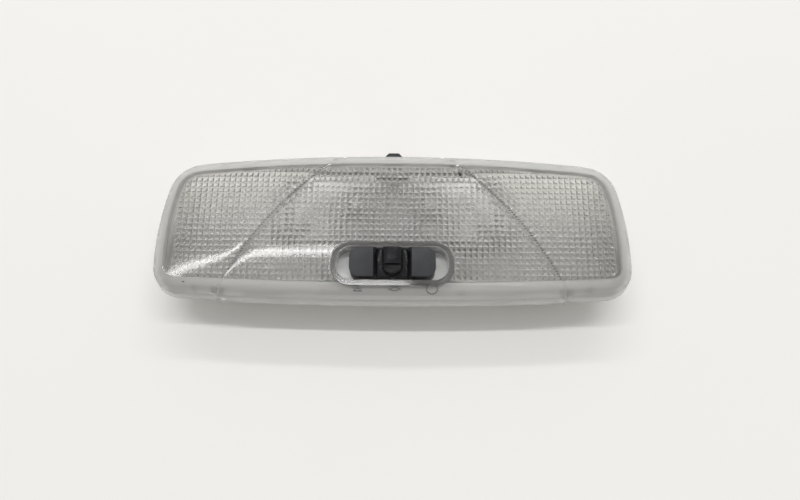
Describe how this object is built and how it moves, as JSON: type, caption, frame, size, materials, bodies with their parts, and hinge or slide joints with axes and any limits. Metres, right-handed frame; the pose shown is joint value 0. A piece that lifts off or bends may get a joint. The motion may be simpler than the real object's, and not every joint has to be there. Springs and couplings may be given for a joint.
{
  "type": "car dome light",
  "caption": "Long trapezoid interior roof light with a creased clear lens, a festoon bulb, a sliding switch and a spring clip.",
  "frame": {"origin": "middle of the flat back of the bulb pocket, on the lamp's middle plane", "axes": "+X along the lamp, +Y to the edge with the spring clip, +Z out of the lens"},
  "size_m": [0.1978, 0.0702, 0.0361],
  "materials": {
    "clear_plastic": "clear polished moulding",
    "white_plastic": "moulded",
    "base_plastic": "moulded",
    "reflector_metal": "satin, pale anodised sheet",
    "black_plastic": "fine grain",
    "bronze": "spring bronze",
    "tinned_brass": "stamped and tin plated",
    "steel": "zinc plated",
    "bulb_glass": "clear",
    "cap_metal": "nickel plated",
    "wire": "drawn",
    "black_steel": "black phosphate"
  },
  "bodies": {
    "lamp": {"lens": "clear_plastic", "housing": "white_plastic", "reflector": "reflector_metal", "switch_base": "base_plastic", "detent_spring": "steel", "base_screws": "steel", "feed_track": "tinned_brass", "lamp_track": "tinned_brass", "door_track": "tinned_brass", "earth_track": "tinned_brass", "bulb_clip_left": "tinned_brass", "bulb_clip_right": "tinned_brass", "clip_rivets": "tinned_brass", "bulb_glass": "bulb_glass", "bulb_cap_left": "cap_metal", "bulb_cap_right": "cap_metal", "bulb_filament": "wire", "bulb_leads": "wire"},
    "switch": {"switch_slider": "black_plastic", "slider_wiper": "bronze"},
    "spring_catch": {"retaining_clip": "black_steel"}
  },
  "joints": [
    {"name": "switch_slide", "type": "slide", "parent": "lamp", "child": "switch", "axis": [1, 0, 0], "range_m": [-0.0043, 0.0043]},
    {"name": "clip_flex", "type": "hinge", "parent": "lamp", "child": "spring_catch", "pos_m": [0, 0.0303, 0.0045], "axis": [1, 0, 0], "range_deg": [0, 12], "stiffness_Nm_per_rad": 0.5}
  ]
}
